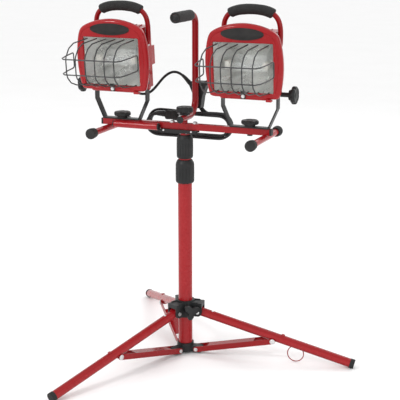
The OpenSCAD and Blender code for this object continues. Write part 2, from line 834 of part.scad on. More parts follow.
// Rocker of the on-off switch, pressed in on its upper side
module switch_rocker(side) {
    color(black) on_head(side) translate([-11.5, box_y + 0.5, 65.5]) difference() {
        rotate([8, 0, 0]) {
            intersection() {
                x_rod(13, 23);
                translate([0, 3, 0]) cube([24, 12, 12], center = true);
            }
            translate([0, -3, 0]) cube([14, 6, 4], center = true);
        }
        x_rod(2.5, 24);
    }
}

outer_tube();
mid_tube();
inner_glide();
inner_tube();
lower_collar();
upper_collar();
leg_hub();
hub_rivets();
hub_knob();
foot_hub();
foot_rivets();
leg(0);  // leg_right
leg(2);  // leg_front
leg(1);  // leg_back
leg_cap(0);  // cap_right
leg_cap(2);  // cap_front
leg_cap(1);  // cap_back
brace(0);  // brace_right
brace(2);  // brace_front
brace(1);  // brace_back
leg_loop();
bar_bracket();
rail();
foot_bars();
end_plugs();
bar_feet();
spare_lamp_tube();
post_handle();
post_grip();
post_knob();
cord_hank();
power_cord();
left_lead();
right_lead();
connector();
plug();
yoke(-1);  // left_yoke
yoke_knob(-1);  // left_yoke_knob
tilt_knob(-1);  // left_tilt_knob
housing(-1);  // left_housing
bezel(-1);  // left_bezel
glass(-1);  // left_glass
reflector(-1);  // left_reflector
lamp(-1);  // left_lamp
guard(-1);  // left_guard
carry_handle(-1);  // left_carry_handle
carry_grip(-1);  // left_carry_grip
switch_rocker(-1);  // left_switch
yoke(1);  // right_yoke
yoke_knob(1);  // right_yoke_knob
tilt_knob(1);  // right_tilt_knob
housing(1);  // right_housing
bezel(1);  // right_bezel
glass(1);  // right_glass
reflector(1);  // right_reflector
lamp(1);  // right_lamp
guard(1);  // right_guard
carry_handle(1);  // right_carry_handle
carry_grip(1);  // right_carry_grip
switch_rocker(1);  // right_switch
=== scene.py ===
"""Looks of the twin-head work light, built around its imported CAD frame.

Local sizes are in millimetres, in three frames: the mast frame (origin on the floor under the mast),
a leg's frame, and a head's frame (origin on its tilt axis, -Y out through the glass).
"""
import json
import math

import bmesh
import bpy
from mathutils import Matrix, Vector

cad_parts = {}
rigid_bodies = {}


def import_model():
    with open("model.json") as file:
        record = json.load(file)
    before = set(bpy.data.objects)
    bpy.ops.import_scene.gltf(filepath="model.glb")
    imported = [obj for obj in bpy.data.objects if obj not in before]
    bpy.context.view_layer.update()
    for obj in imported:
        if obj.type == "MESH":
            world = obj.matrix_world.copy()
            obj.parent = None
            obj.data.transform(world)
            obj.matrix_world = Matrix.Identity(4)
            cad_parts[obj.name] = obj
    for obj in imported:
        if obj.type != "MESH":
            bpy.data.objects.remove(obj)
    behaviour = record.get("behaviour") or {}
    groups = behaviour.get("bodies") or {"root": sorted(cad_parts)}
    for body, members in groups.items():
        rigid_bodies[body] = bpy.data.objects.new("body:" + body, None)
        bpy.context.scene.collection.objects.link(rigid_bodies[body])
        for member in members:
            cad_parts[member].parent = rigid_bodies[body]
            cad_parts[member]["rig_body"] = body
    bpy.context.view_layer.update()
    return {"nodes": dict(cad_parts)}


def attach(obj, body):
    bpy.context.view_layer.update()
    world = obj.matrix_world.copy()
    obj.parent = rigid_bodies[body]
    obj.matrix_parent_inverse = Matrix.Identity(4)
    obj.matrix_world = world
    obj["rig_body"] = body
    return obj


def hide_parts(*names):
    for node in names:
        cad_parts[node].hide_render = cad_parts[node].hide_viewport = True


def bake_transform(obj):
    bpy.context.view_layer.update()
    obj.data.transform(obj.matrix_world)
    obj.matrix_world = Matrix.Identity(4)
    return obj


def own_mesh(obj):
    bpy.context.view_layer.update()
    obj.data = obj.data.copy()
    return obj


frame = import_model()

MM = 0.001
MAST = Vector((-72, 25, 0))
HEAD_X = 166
TILT_Z = 670
REST_TILT = math.radians(5)
CORD_D = 6.5
SIDES = {"left": -1, "right": 1}
SCALE = Matrix.Scale(MM, 4)
MAST_FRAME = SCALE @ Matrix.Translation(MAST)


def at(x, y, z):
    """A point of the mast frame, in the row frame's metres."""
    return MAST_FRAME @ Vector((x, y, z))


def swivel_frame(side):
    mirror = Matrix.Diagonal((side, 1, 1, 1))
    return MAST_FRAME @ Matrix.Translation((side * HEAD_X, 0, 0)) @ mirror


def head_frame(side):
    return swivel_frame(side) @ Matrix.Translation((0, 0, TILT_Z)) @ Matrix.Rotation(REST_TILT, 4, "X")


# ---------- camera ----------


def make_camera():
    data = bpy.data.cameras.new("camera")
    data.sensor_width = 36
    data.lens = 94.5
    data.clip_end = 200
    cam = bpy.data.objects.new("camera", data)
    cam.location = at(959.6, -2305.3, 1033.5)
    cam.rotation_euler = (math.radians(90 - 14.32), 0, math.radians(21.76))
    bpy.context.scene.collection.objects.link(cam)
    bpy.context.scene.camera = cam


make_camera()

# ---------- materials ----------


class Nodes:
    """A material's node tree with short calls for what the materials below share."""

    def __init__(self, name):
        self.material = bpy.data.materials.new(name)
        self.material.use_nodes = True
        self.tree = self.material.node_tree
        self.shader = self.tree.nodes["Principled BSDF"]
        self.coords = self.tree.nodes.new("ShaderNodeTexCoord").outputs["Object"]

    def link(self, a, b):
        self.tree.links.new(a, b)

    def noise(self, scale, detail=4, stretch=(1, 1, 1)):
        source = self.coords
        if stretch != (1, 1, 1):
            mapping = self.tree.nodes.new("ShaderNodeMapping")
            mapping.inputs["Scale"].default_value = stretch
            self.link(source, mapping.inputs["Vector"])
            source = mapping.outputs["Vector"]
        n = self.tree.nodes.new("ShaderNodeTexNoise")
        n.inputs["Scale"].default_value = scale
        n.inputs["Detail"].default_value = detail
        n.inputs["Roughness"].default_value = 0.55
        self.link(source, n.inputs["Vector"])
        return n.outputs["Fac"]

    def cells(self, scale, feature="F1"):
        n = self.tree.nodes.new("ShaderNodeTexVoronoi")
        n.feature = feature
        n.inputs["Scale"].default_value = scale
        self.link(self.coords, n.inputs["Vector"])
        return n.outputs["Distance"]

    def ramp(self, fac, *stops):
        n = self.tree.nodes.new("ShaderNodeValToRGB")
        n.color_ramp.elements[0].position = stops[0][0]
        n.color_ramp.elements[0].color = (*stops[0][1], 1)
        n.color_ramp.elements[1].position = stops[-1][0]
        n.color_ramp.elements[1].color = (*stops[-1][1], 1)
        for position, colour in stops[1:-1]:
            n.color_ramp.elements.new(position).color = (*colour, 1)
        self.link(fac, n.inputs["Fac"])
        return n.outputs["Color"]

    def span(self, fac, low, high):
        n = self.tree.nodes.new("ShaderNodeMapRange")
        n.inputs["From Min"].default_value = 0.3
        n.inputs["From Max"].default_value = 0.7
        n.inputs["To Min"].default_value = low
        n.inputs["To Max"].default_value = high
        self.link(fac, n.inputs["Value"])
        return n.outputs["Result"]

    def mix(self, fac, a, b):
        n = self.tree.nodes.new("ShaderNodeMix")
        n.data_type = "RGBA"
        self.link(fac, n.inputs["Factor"])
        self.link(a, n.inputs["A"])
        self.link(b, n.inputs["B"])
        return n.outputs["Result"]

    def bump(self, height, strength, distance):
        n = self.tree.nodes.new("ShaderNodeBump")
        n.inputs["Strength"].default_value = strength
        n.inputs["Distance"].default_value = distance
        previous = self.shader.inputs["Normal"]
        if previous.is_linked:
            self.link(previous.links[0].from_socket, n.inputs["Normal"])
        self.link(height, n.inputs["Height"])
        self.link(n.outputs["Normal"], previous)

    def edges(self, low, high):
        """1 on worn convex edges, 0 elsewhere."""
        geometry = self.tree.nodes.new("ShaderNodeNewGeometry")
        n = self.tree.nodes.new("ShaderNodeMapRange")
        n.inputs["From Min"].default_value = low
        n.inputs["From Max"].default_value = high
        self.link(geometry.outputs["Pointiness"], n.inputs["Value"])
        return n.outputs["Result"]

    def set(self, **values):
        for name, value in values.items():
            self.shader.inputs[name.replace("_", " ")].default_value = value

    def colour(self, socket):
        self.link(socket, self.shader.inputs["Base Color"])

    def rough(self, socket):
        self.link(socket, self.shader.inputs["Roughness"])


def red_paint(name, deep, bright, peel):
    m = Nodes(name)
    base = m.ramp(m.noise(9, 5), (0.3, deep), (0.7, bright))
    dust = m.ramp(m.noise(160, 3), (0.2, tuple(c * 1.25 + 0.01 for c in bright)), (0.9, bright))
    worn = m.edges(0.53, 0.62)
    m.colour(m.mix(worn, base, dust))
    m.rough(m.span(m.noise(38, 6), 0.16, 0.32))
    m.bump(m.noise(peel, 2), 0.05, 0.0004)
    m.bump(m.noise(14, 3), 0.05, 0.0015)
    m.set(Coat_Weight=0.35, Coat_Roughness=0.04, IOR=1.2)
    return m.material


def moulded(name, dark, light, grain, low, high, strength=0.25):
    m = Nodes(name)
    base = m.ramp(m.noise(22, 6), (0.3, dark), (0.72, light))
    pale = m.ramp(m.noise(240, 2), (0.3, tuple(c * 1.5 for c in light)), (0.8, light))
    m.colour(m.mix(m.edges(0.54, 0.66), base, pale))
    m.rough(m.span(m.noise(60, 5), low, high))
    m.bump(m.noise(grain, 3), strength, 0.0004)
    m.set(IOR=1.35)
    return m.material


def foam(name):
    m = Nodes(name)
    m.colour(m.ramp(m.cells(620), (0.1, (0.008, 0.008, 0.008)), (0.8, (0.030, 0.029, 0.029))))
    m.rough(m.span(m.noise(90, 4), 0.82, 0.96))
    m.bump(m.cells(620), 0.55, 0.0008)
    m.bump(m.noise(60, 4), 0.35, 0.0012)
    m.set(Sheen_Weight=0.05, Sheen_Roughness=0.6, IOR=1.35)
    return m.material


def metal(name, dark, light, low, high, stretch, scale=260, metallic=1.0):
    m = Nodes(name)
    m.colour(m.ramp(m.noise(30, 6), (0.25, dark), (0.75, light)))
    m.rough(m.span(m.noise(scale, 4, stretch=stretch), low, high))
    m.bump(m.noise(scale, 3, stretch=stretch), 0.15, 0.0003)
    m.set(Metallic=metallic)
    return m.material


def hammered(name):
    m = Nodes(name)
    m.colour(m.ramp(m.noise(16, 5), (0.3, (0.46, 0.47, 0.46)), (0.72, (0.82, 0.82, 0.79))))
    m.rough(m.span(m.noise(45, 3), 0.22, 0.42))
    m.bump(m.cells(190, "SMOOTH_F1"), 0.75, 0.0016)
    m.bump(m.noise(20, 3), 0.4, 0.004)
    m.set(Metallic=0.92)
    return m.material


def clear_glass(name):
    m = Nodes(name)
    m.colour(m.ramp(m.noise(6, 3), (0.3, (0.86, 0.90, 0.89)), (0.7, (0.94, 0.96, 0.95))))
    m.rough(m.span(m.noise(12, 4), 0.01, 0.06))
    m.set(Transmission_Weight=1.0, IOR=1.46, Alpha=0.32)
    return m.material


def quartz(name):
    m = Nodes(name)
    m.colour(m.ramp(m.noise(40, 3), (0.3, (0.88, 0.90, 0.90)), (0.7, (0.97, 0.98, 0.98))))
    m.rough(m.span(m.noise(30, 3), 0.02, 0.1))
    m.set(Transmission_Weight=0.7, IOR=1.46, Alpha=0.6)
    return m.material


def ceramic(name):
    m = Nodes(name)
    m.colour(m.ramp(m.noise(70, 6), (0.3, (0.70, 0.68, 0.62)), (0.7, (0.84, 0.82, 0.77))))
    m.rough(m.span(m.noise(120, 4), 0.45, 0.7))
    m.bump(m.noise(420, 3), 0.3, 0.0003)
    return m.material


def make_materials():
    return {
        "red": red_paint("red_powder_coat", (0.235, 0.004, 0.006), (0.285, 0.006, 0.009), 420),
        "enamel": red_paint("red_enamel", (0.295, 0.006, 0.009), (0.35, 0.010, 0.014), 260),
        "plastic": moulded(
            "black_plastic", (0.012, 0.0125, 0.013), (0.022, 0.0225, 0.023), 900, 0.38, 0.58,
        ),
        "steel_black": moulded(
            "black_coated_steel", (0.010, 0.010, 0.0105), (0.019, 0.019, 0.0195), 500, 0.32, 0.48,
        ),
        "rubber": moulded(
            "black_rubber", (0.017, 0.017, 0.017), (0.032, 0.031, 0.030), 1300, 0.62, 0.85, 0.35,
        ),
        "cord": moulded(
            "cord_sheath", (0.011, 0.011, 0.012), (0.022, 0.022, 0.023), 700, 0.34, 0.5, 0.12,
        ),
        "gloss": moulded(
            "gloss_black", (0.014, 0.013, 0.013), (0.026, 0.024, 0.023), 300, 0.12, 0.24, 0.05,
        ),
        "foam": foam("foam_rubber"),
        "zinc": metal("zinc_steel", (0.52, 0.53, 0.54), (0.76, 0.76, 0.75), 0.2, 0.42, (1, 1, 6)),
        "wire": metal(
            "dark_wire", (0.035, 0.036, 0.037), (0.075, 0.076, 0.078), 0.28, 0.5, (1, 1, 1), 340, 0.55,
        ),
        "reflector": hammered("hammered_reflector"),
        "glass": clear_glass("tempered_glass"),
        "quartz": quartz("quartz_tube"),
        "ceramic": ceramic("ceramic_holder"),
    }


MAT = make_materials()

# ---------- mesh helpers ----------


def finish_mesh(name, bm, matrix, material, sharp=32):
    """Turns a bmesh in a local frame into an object in the row frame."""
    bmesh.ops.recalc_face_normals(bm, faces=bm.faces)
    mesh = bpy.data.meshes.new(name)
    bm.to_mesh(mesh)
    bm.free()
    mesh.transform(matrix)
    if matrix.determinant() < 0:
        mesh.flip_normals()
    mesh.shade_smooth()
    mesh.set_sharp_from_angle(angle=math.radians(sharp))
    mesh.materials.append(MAT[material])
    obj = bpy.data.objects.new(name, mesh)
    bpy.context.scene.collection.objects.link(obj)
    return obj


def add(name, bm, matrix, material, body, replaced=(), bevel=0.0, sharp=32):
    obj = finish_mesh(name, bm, matrix, material, sharp)
    if bevel:
        round_edges(obj, bevel)
    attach(obj, body)
    if replaced:
        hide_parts(*replaced)
    return obj


def round_edges(obj, width, segments=2):
    mod = obj.modifiers.new("rounded", "BEVEL")
    mod.width = width * MM
    mod.segments = segments
    mod.limit_method = "ANGLE"
    mod.angle_limit = math.radians(35)
    mod.use_clamp_overlap = True
    mod.harden_normals = True


def skin_rings(bm, rings, loop=False):
    """Faces between rings of points that all have the same count."""
    made = [[bm.verts.new(p) for p in ring] for ring in rings]
    count = len(rings[0])
    pairs = list(zip(made, made[1:]))
    if loop:
        pairs.append((made[-1], made[0]))
    for a, b in pairs:
        for i in range(count):
            j = (i + 1) % count
            bm.faces.new((a[i], a[j], b[j], b[i]))
    if not loop:
        bm.faces.new(made[0][::-1])
        bm.faces.new(made[-1])
    return made


def directions(points, loop=False):
    n = len(points)
    out = []
    for i in range(n):
        a = points[(i - 1) % n] if loop else points[max(i - 1, 0)]
        b = points[(i + 1) % n] if loop else points[min(i + 1, n - 1)]
        out.append((b - a).normalized())
    return out


def tube_rings(points, radius, sides=12, loop=False):
    """Rings across a path, turned as little as possible from one to the next; radius may be a function."""
    tangents = directions(points, loop)
    first = tangents[0]
    side = first.orthogonal().normalized()
    frames = []
    for i, tangent in enumerate(tangents):
        if i:
            turn = tangents[i - 1].rotation_difference(tangent)
            side = turn @ side
        side = (side - tangent * side.dot(tangent)).normalized()
        frames.append((side, tangent.cross(side)))
    twist = 0.0
    if loop:
        last = tangents[-1].rotation_difference(tangents[0]) @ frames[-1][0]
        twist = math.atan2(last.dot(frames[0][1]), last.dot(frames[0][0]))
    rings = []
    travelled = 0.0
    for i, (p, (u, v)) in enumerate(zip(points, frames)):
        if i:
            travelled += (p - points[i - 1]).length
        r = radius(travelled) if callable(radius) else radius
        lean = -twist * i / len(points)
        ring = []
        for k in range(sides):
            a = 2 * math.pi * k / sides + lean
            ring.append(p + r * (math.cos(a) * u + math.sin(a) * v))
        rings.append(ring)
    return rings


def add_tube(bm, points, radius, sides=12, loop=False):
    skin_rings(bm, tube_rings([Vector(p) for p in points], radius, sides, loop), loop=loop)


def filleted(points, radius, steps=5, loop=False):
    """A polyline with its corners replaced by arcs."""
    pts = [Vector(p) for p in points]
    n = len(pts)
    out = []
    for i, p in enumerate(pts):
        if not loop and i in (0, n - 1):
            out.append(p)
            continue
        a, b = pts[(i - 1) % n] - p, pts[(i + 1) % n] - p
        half = a.angle(b) / 2
        if half > math.radians(88.5):
            out.append(p)
            continue
        cut = min(radius / math.tan(half), a.length * 0.45, b.length * 0.45)
        start, end = p + a.normalized() * cut, p + b.normalized() * cut
        for k in range(steps + 1):
            t = k / steps
            out.append(start * (1 - t) ** 2 + p * 2 * t * (1 - t) + end * t * t)
    return out


def smooth_path(points, step):
    """Points about step apart on a smooth curve through the given ones."""
    pts = [Vector(p) for p in points]
    pts = [2 * pts[0] - pts[1], *pts, 2 * pts[-1] - pts[-2]]
    out = []
    for a, b, c, d in zip(pts, pts[1:], pts[2:], pts[3:]):
        count = max(1, round((c - b).length / step))
        tb, tc = (c - a) * 0.5, (d - b) * 0.5
        for k in range(count):
            t = k / count
            out.append(
                b * (2 * t**3 - 3 * t * t + 1)
                + tb * (t**3 - 2 * t * t + t)
                + c * (-2 * t**3 + 3 * t * t)
                + tc * (t**3 - t * t)
            )
    out.append(pts[-2])
    return out


def relaxed(points, rounds=6):
    """The same path with small kinks evened out; its ends stay."""
    pts = list(points)
    for _ in range(rounds):
        pts = [pts[0]] + [(a + 2 * b + c) / 4 for a, b, c in zip(pts, pts[1:], pts[2:])] + [pts[-1]]
    return pts


def path_length(points):
    return sum((b - a).length for a, b in zip(points, points[1:]))


def lathe(bm, profile, steps=48, frame_of=Matrix.Identity(4)):
    """Turns (radius, height) points about local Z."""
    rings = []
    for r, z in profile:
        ring = []
        for k in range(steps):
            a = 2 * math.pi * k / steps
            ring.append(frame_of @ Vector((r * math.cos(a), r * math.sin(a), z)))
        rings.append(ring)
    skin_rings(bm, rings)


def box(bm, low, high):
    low, high = Vector(low), Vector(high)
    size, middle = high - low, (low + high) / 2
    placed = Matrix.Translation(middle) @ Matrix.Diagonal((*size, 1))
    bmesh.ops.create_cube(bm, size=1, matrix=placed)


def aim(origin, direction):
    """A frame whose Z runs along direction."""
    turn = Vector((0, 0, 1)).rotation_difference(Vector(direction)).to_matrix().to_4x4()
    return Matrix.Translation(origin) @ turn


def hex_head(bm, frame_of, across=8, tall=3.2, washer=6.0):
    """Washer and six-sided head with a chamfered top."""
    lathe(bm, [(washer - 0.2, 0), (washer, 0.3), (washer - 0.3, 0.9), (1, 1)], 32, frame_of=frame_of)
    r = across / math.sqrt(3)
    lathe(bm, [(r, 0.9), (r, tall - 0.5), (r - 0.6, tall), (0.5, tall)], 6, frame_of=frame_of)


def dome(bm, frame_of, radius, tall, steps=28):
    profile = [(radius, 0)]
    for k in range(1, 6):
        a = math.pi / 2 * k / 6
        profile.append((radius * math.cos(a), tall * math.sin(a)))
    profile.append((0.05, tall))
    lathe(bm, profile, steps, frame_of=frame_of)


def softened(node, material, width, segments=2, shaped=None):
    """A copy of a CAD node with rounded edges, which stands for it; shaped edits the copy first."""
    source = frame["nodes"][node]
    bm = bmesh.new()
    bm.from_mesh(source.data)
    bmesh.ops.remove_doubles(bm, verts=bm.verts, dist=2e-6)
    bmesh.ops.dissolve_limit(bm, angle_limit=math.radians(0.6), verts=bm.verts, edges=bm.edges)
    if shaped:
        shaped(bm)
    body = source["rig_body"]
    obj = finish_mesh(node + "_shape", bm, Matrix.Identity(4), material)
    round_edges(obj, width, segments)
    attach(obj, body)
    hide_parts(node)
    return obj


def repaint(node, material):
    obj = frame["nodes"][node]
    obj.data.materials.clear()
    obj.data.materials.append(MAT[material])


# ---------- cords ----------

POWER_ROUTE = [
    (9, 92.6, 606), (12.5, 92.6, 602), (18, 92.6, 598.5), (26, 92.2, 596.5), (36, 90.5, 596.5),
    (46, 88, 598), (56, 85.3, 600.5), (64, 83, 602),
]
TAIL_ROUTE = [
    (-104, 73.5, 539.4), (-117, 70, 543), (-128, 66.5, 553.5), (-130.4, 64, 567), (-126.5, 62.3, 580.5),
    (-116.5, 61.5, 590.5), (-106, 61.5, 594), (-100, 61.5, 594),
]
LEFT_ROUTE = [
    (-180, 61.3, 704.6), (-180, 62.5, 692), (-180, 65.5, 678), (-178.5, 69.5, 664), (-173, 74, 651),
    (-162, 79, 641), (-147, 83, 638), (-132, 86, 642), (-119, 88, 653), (-107, 89, 667), (-95, 90, 681),
    (-81, 90, 692), (-66, 90, 697.5), (-51, 90, 694.5), (-38, 90, 686), (-27, 90, 675),
]
RIGHT_ROUTE = [
    (180, 61.3, 704.6), (180, 62.5, 692), (177, 65.5, 680), (169, 70, 670), (156, 77, 664),
    (141, 82, 664), (124, 85, 670), (107, 87, 678), (90, 89, 687), (72, 90, 693.5), (55, 90, 695.5),
    (41, 90, 690.5), (28, 90, 680),
]
HANK_X = -21
HANK_Z = 571
HANK_RUN = 82
HANK_LANES = [(31.7, 83.3), (24.7, 83.3), (24.7, 75.4), (31.7, 75.4)]


def hank_turns():
    """The turns of the hank, clockwise from its upper right end, out, in, forward and out again."""
    steps = 14
    points = []
    for k, (r, y) in enumerate(HANK_LANES):
        last = k == len(HANK_LANES) - 1
        for i in range(steps + 1):
            a = math.pi / 2 - math.pi * i / steps
            points.append((HANK_X + HANK_RUN + r * math.cos(a), y, HANK_Z + r * math.sin(a)))
        for t in (0.25, 0.5, 0.75):
            points.append((HANK_X + HANK_RUN - 2 * HANK_RUN * t, y, HANK_Z - r))
        if last:
            break
        for i in range(steps + 1):
            a = -math.pi / 2 - math.pi * i / steps
            points.append((HANK_X - HANK_RUN + r * math.cos(a), y, HANK_Z + r * math.sin(a)))
        next_r, next_y = HANK_LANES[k + 1]
        for t in (0.15, 0.3, 0.45, 0.6, 0.75, 0.9):
            w = t * t * (3 - 2 * t)
            x = HANK_X - HANK_RUN + 2 * HANK_RUN * t
            points.append((x, y + (next_y - y) * w, HANK_Z + r + (next_r - r) * w))
    return points


def row(points):
    return [at(*p) for p in points]


def cord_mesh(name, path):
    bm = bmesh.new()
    add_tube(bm, path, CORD_D / 2 * MM, 14)
    return finish_mesh(name, bm, Matrix.Identity(4), "cord", 60)


def relief_radius(length, thick, thin):
    """Radius of a ribbed, tapering strain relief at a distance from its thick end, in metres."""
    pitch = 3.4 * MM

    def radius(s):
        t = min(1, s / length)
        ribs = 0.5 * MM * math.cos(2 * math.pi * s / pitch)
        return thick + (thin - thick) * t + ribs * (1 - t) ** 0.3

    return radius


def relief_mesh(name, path, length=26 * MM, thick=5.3 * MM, thin=3.75 * MM):
    """A strain relief on the first stretch of a path."""
    points, travelled = [path[0]], 0.0
    for a, b in zip(path, path[1:]):
        count = max(1, round((b - a).length / (0.6 * MM)))
        for k in range(1, count + 1):
            travelled += (b - a).length / count
            if travelled <= length:
                points.append(a.lerp(b, k / count))
    bm = bmesh.new()
    add_tube(bm, points, relief_radius(length, thick, thin), 18)
    return finish_mesh(name, bm, Matrix.Identity(4), "rubber", 70)


def build_power_cord():
    path = relaxed(smooth_path(row(POWER_ROUTE + hank_turns()[1:] + TAIL_ROUTE), 3.5 * MM), 10)
    cord = cord_mesh("power_cord_flex", path)
    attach(cord, "light_bar")
    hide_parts("power_cord", "cord_hank")
    relief = relief_mesh("power_cord_relief", path, 24 * MM)
    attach(relief, "light_bar")
    plug = build_plug()


def build_plug():
    """Moulded three-pin plug: ribbed body, ribbed relief, two blades and an earth pin."""
    origin = Vector((-60, 61.5, 594))
    bm = bmesh.new()
    rings = []
    for x, w, h in [
        (-17, 5, 7), (-16, 7.2, 10), (-12, 8.3, 11.6), (-6, 8.2, 11.2), (0, 7.6, 10.6), (6, 8.2, 11.8),
        (12, 8.8, 12.8), (14.4, 8.6, 12.6), (15, 7.6, 11.6),
    ]:
        ring = []
        for k in range(40):
            a = 2 * math.pi * k / 40
            c, s = math.cos(a), math.sin(a)
            grow = (abs(c) ** 4 + abs(s) ** 4) ** -0.25
            ring.append(origin + Vector((x, w * c * grow, h * s * grow)))
        rings.append(ring)
    skin_rings(bm, rings)
    for x in (-11, -7.5, -4):
        for s in (-1, 1):
            box(bm, origin + Vector((x, s * 8.1 - 0.6, -7)), origin + Vector((x + 1.5, s * 8.1 + 0.6, 7)))
    body = add("plug_body", bm, MAST_FRAME, "rubber", "light_bar", ["plug"])
    back = [at(*(origin + Vector((-15, 0, 0)))), at(*(origin + Vector((-40, 0, 0))))]
    relief = relief_mesh("plug_relief", back, 25 * MM, 6.2 * MM, 3.9 * MM)
    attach(relief, "light_bar")
    bm = bmesh.new()
    for s in (-1, 1):
        box(bm, origin + Vector((14, -0.8, s * 6.35 - 3.1)), origin + Vector((31, 0.8, s * 6.35 + 3.1)))
    lathe(
        bm, [(2.4, 0), (2.4, 15), (1.9, 17), (0.4, 18)], 20,
        frame_of=aim(origin + Vector((14, 5, 0)), (1, 0, 0)),
    )
    pins = add("plug_pins", bm, MAST_FRAME, "zinc", "light_bar", bevel=0.3)
    return [body, relief, pins]


def build_lead(name, route):
    """A lead crosses two joints; it is made in two halves split at half its length, with a strain relief at
    each end, and only the lower relief rides the light bar.
    """
    path = relaxed(smooth_path(row(route), 3 * MM), 6)
    split, travelled = 1, 0.0
    while travelled < 0.5 * path_length(path):
        travelled += (path[split] - path[split - 1]).length
        split += 1
    upper, lower = path[: split + 1], path[split:]
    top = cord_mesh(f"{name}_lead_upper", upper)
    gland = relief_mesh(f"{name}_gland_relief", upper, 24 * MM)
    for obj in (top, gland):
        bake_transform(obj)
    low = cord_mesh(f"{name}_lead_lower", lower)
    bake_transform(low)
    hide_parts(f"{name}_lead")
    relief = relief_mesh(f"{name}_lead_relief", lower[::-1], 22 * MM)
    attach(relief, "light_bar")


def build_tie():
    """A flat strap round the hank's upper run, with its buckle."""
    outline = filleted(
        [(-34, 70.6, 587.6), (-34, 87.4, 587.6), (-34, 87.4, 606.4), (-34, 70.6, 606.4)], 4.5, 6, loop=True
    )
    bm = bmesh.new()
    rings = []
    middle = sum(outline, Vector()) / len(outline)
    for p in outline:
        out = (p - middle).normalized()
        half = Vector((3, 0, 0))
        rings.append([p - half, p + half, p + half + out * 0.9, p - half + out * 0.9])
    skin_rings(bm, rings, loop=True)
    box(bm, (-38, 69.2, 595), (-30, 71, 602))
    add("hank_tie", bm, MAST_FRAME, "rubber", "light_bar", bevel=0.25)


build_power_cord()
for side_name, lead_route in (("left", LEFT_ROUTE), ("right", RIGHT_ROUTE)):
    build_lead(side_name, lead_route)
build_tie()

# ---------- stand ----------

LEG_TURN = {"right": 6.8, "back": 126.8, "front": 246.8}
LEG_PIN = Vector((35, 0, 112))
LEG_DROP = math.atan2(112 - 10.9, 424 - 35)
CLIP = LEG_PIN + Matrix.Rotation(LEG_DROP, 4, "Y") @ Vector((200, 0, -9))


def leg_plane(name):
    return MAST_FRAME @ Matrix.Rotation(math.radians(LEG_TURN[name]), 4, "Z")


def build_collar(name, low, tall, radius, bore):
    """A twist-lock collar: a fluted barrel with a stepped shoulder and a chamfered mouth."""
    flutes = 18

    def wave(a, r, z):
        inside = min(1, max(0, (z - low - 6) / 3)) * min(1, max(0, (low + tall - 15 - z) / 3))
        groove = max(0.0, math.cos(flutes * a)) ** 6
        return r - 0.95 * inside * groove if r > bore + 2 else r

    profile = [(bore, low), (radius - 3.4, low), (radius - 1.5, low + 1.2), (radius - 0.4, low + 4)]
    rows = 10
    for k in range(rows + 1):
        z = low + 5.5 + (tall - 19) * k / rows
        profile.append((radius - 0.25 + 0.25 * math.sin(math.pi * k / rows), z))
    top = low + tall
    profile += [
        (radius - 0.3, top - 12), (radius - 0.9, top - 9), (radius - 2.2, top - 6),
        (radius - 2.6, top - 5.6), (radius - 3.4, top - 3.4), (radius - 5, top - 1.2),
        (radius - 6.2, top - 0.2), (bore + 0.3, top), (bore, top - 0.6), (bore, low + 0.6),
    ]
    bm = bmesh.new()
    rings = []
    for r, z in profile:
        ring = []
        for k in range(180):
            a = 2 * math.pi * k / 180
            rr = wave(a, r, z)
            ring.append(Vector((rr * math.cos(a), rr * math.sin(a), z)))
        rings.append(ring)
    skin_rings(bm, rings, loop=True)
    add(name + "_shape", bm, MAST_FRAME, "plastic", name, [name], sharp=50)


def lobed(bm, frame_of, radius, levels):
    """A six-lobed star grip: levels are (share of the radius, height, share of the lobes' depth)."""
    lobes = 6
    depth = 0.1
    rings = []
    for share, z, wave in levels:
        ring = []
        for k in range(96):
            a = 2 * math.pi * k / 96
            valley = max(0.0, -math.cos(lobes * a)) ** 1.5
            r = radius * share * (1 - depth * wave * valley)
            ring.append(frame_of @ Vector((r * math.cos(a), r * math.sin(a), z)))
        rings.append(ring)
    skin_rings(bm, rings)


def knob_levels(hub, low, tall):
    """Hub, undercut, gripping rim with rounded edges, and a dished top with a raised middle."""
    return [
        (hub, 0, 0), (hub, low, 0), (0.82, low + 0.4, 1), (0.93, low + 1.2, 1), (0.985, low + 2.6, 1),
        (1.0, low + (tall - low) * 0.5, 1), (0.985, tall - 2.4, 1), (0.94, tall - 0.9, 1),
        (0.87, tall - 0.1, 0.9),
        (0.8, tall - 0.2, 0.7), (0.72, tall - 1.0, 0.4), (0.42, tall - 1.4, 0), (0.36, tall - 1.1, 0),
        (0.32, tall - 0.5, 0), (0.1, tall - 0.4, 0),
    ]


def build_stand():
    repaint("outer_tube", "red")
    repaint("mid_tube", "red")
    repaint("inner_glide", "plastic")
    build_collar("lower_collar", 441, 58, 23, 15.2)
    build_collar("upper_collar", 502, 58, 20.25, 12.7)
    softened("leg_hub", "plastic", 0.9)
    softened("foot_hub", "plastic", 0.9)
    softened("hub_rivets", "zinc", 0.7, 3)
    softened("foot_rivets", "zinc", 0.7, 3)
    build_hub_knob()
    for name in LEG_TURN:
        repaint(f"leg_{name}", "red")
        softened(f"cap_{name}", "rubber", 1.1, 3)
        softened(f"brace_{name}", "red", 0.7, 2)
        build_leg_trim(name)
    build_keeper()


